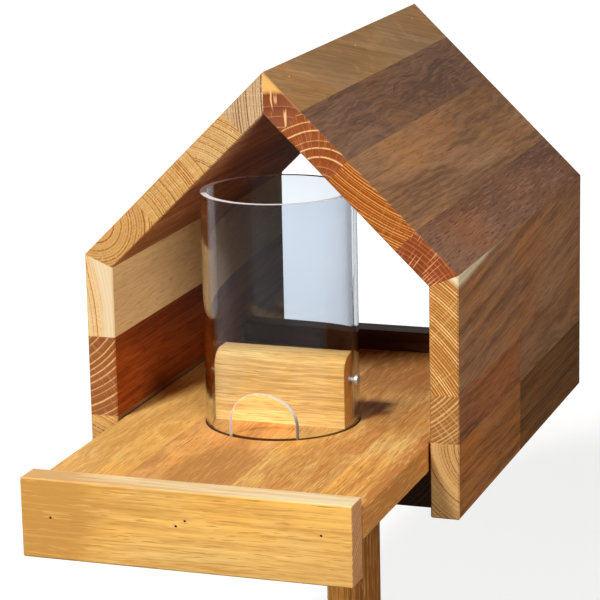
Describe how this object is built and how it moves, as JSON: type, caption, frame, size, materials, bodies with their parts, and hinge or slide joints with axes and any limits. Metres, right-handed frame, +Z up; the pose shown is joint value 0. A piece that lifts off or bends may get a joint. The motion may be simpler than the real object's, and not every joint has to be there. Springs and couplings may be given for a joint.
{
  "type": "bird feeding house",
  "caption": "Gabled oak feeding house for birds on a round post, open front and back, with a tray that slides out and carries a clear seed tube with arched outlets.",
  "frame": {"origin": "middle of the post's sawn foot", "axes": "+Z up along the post, -Y out of the open front where the tray is drawn out, +X to the right seen from the front"},
  "size_m": [0.25, 0.484, 0.4639],
  "materials": {
    "oak_dark": "oiled, satin",
    "oak_pale": "oiled, satin",
    "oak_tray": "oiled, satin",
    "oak_honey": "oiled, satin",
    "beech": "plain",
    "acrylic": "clear, polished",
    "steel": "zinc plated"
  },
  "bodies": {
    "house": {"left_wall_lower_stave": "oak_dark", "left_wall_middle_stave": "oak_dark", "left_wall_upper_stave": "oak_pale", "right_wall_lower_front_stave": "oak_dark", "right_wall_lower_rear_stave": "oak_dark", "right_wall_middle_front_stave": "oak_dark", "right_wall_middle_rear_stave": "oak_dark", "right_wall_upper_stave": "oak_dark", "left_roof_ridge_stave": "oak_dark", "left_roof_upper_stave": "oak_dark", "left_roof_lower_stave": "oak_dark", "left_roof_eave_stave": "oak_dark", "right_roof_ridge_stave": "oak_dark", "right_roof_upper_stave": "oak_dark", "right_roof_lower_stave": "oak_dark", "right_roof_eave_stave": "oak_dark", "base_stave_1": "oak_dark", "base_stave_2": "oak_dark", "base_stave_3": "oak_dark", "base_stave_4": "oak_dark", "base_stave_5": "oak_dark", "post": "oak_dark", "ridge_brads": "steel", "eave_brads": "steel", "base_dowels": "beech", "post_screws": "steel"},
    "tray": {"tray_stave_1": "oak_tray", "tray_stave_2": "oak_tray", "tray_stave_3": "oak_tray", "tray_stave_4": "oak_tray", "front_board": "oak_honey", "rear_board": "oak_dark", "seed_tube": "acrylic", "seed_block": "oak_honey", "front_board_brads": "steel", "rear_board_brads": "steel", "block_screws": "steel", "tube_screws": "steel"}
  },
  "joints": [
    {"name": "tray_slide", "type": "slide", "parent": "house", "child": "tray", "axis": [0, -1, 0], "range_m": [-0.1347, 0.1]}
  ]
}
